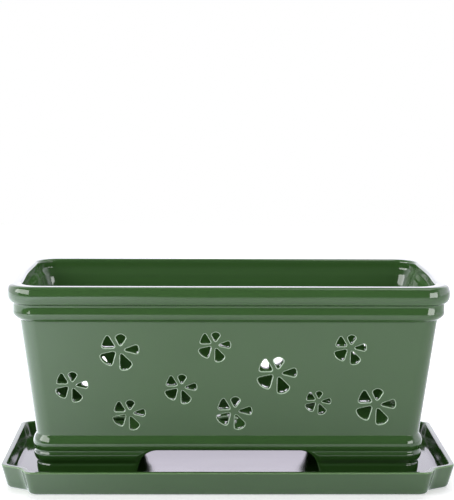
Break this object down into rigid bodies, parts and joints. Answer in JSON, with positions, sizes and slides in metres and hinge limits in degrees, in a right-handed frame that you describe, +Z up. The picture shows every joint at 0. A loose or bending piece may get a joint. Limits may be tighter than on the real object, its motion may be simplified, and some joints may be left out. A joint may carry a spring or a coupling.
{
  "type": "orchid pot with slots",
  "caption": "Rectangular glazed ceramic orchid pot with rolled rim, flower-shaped air slots, drain holes and arched feet, standing loose in a matching saucer with stepped corners.",
  "frame": {"origin": "middle of the saucer's underside, on the surface it stands on", "axes": "+X along the pot's long side, +Y from the front wall to the back wall, +Z up"},
  "size_m": [0.3342, 0.1642, 0.152],
  "materials": {
    "saucer_glaze": "glossy green glaze, bare clay under the base",
    "pot_glaze": "glossy green glaze, pale where it breaks over the slot edges, bare clay under the feet"
  },
  "bodies": {
    "saucer": {"saucer": "saucer_glaze"},
    "pot": {"pot": "pot_glaze"}
  },
  "joints": [
    {"name": "pot_lift", "type": "slide", "parent": "saucer", "child": "pot", "axis": [0, 0, 1], "range_m": [0, 0.08]}
  ]
}
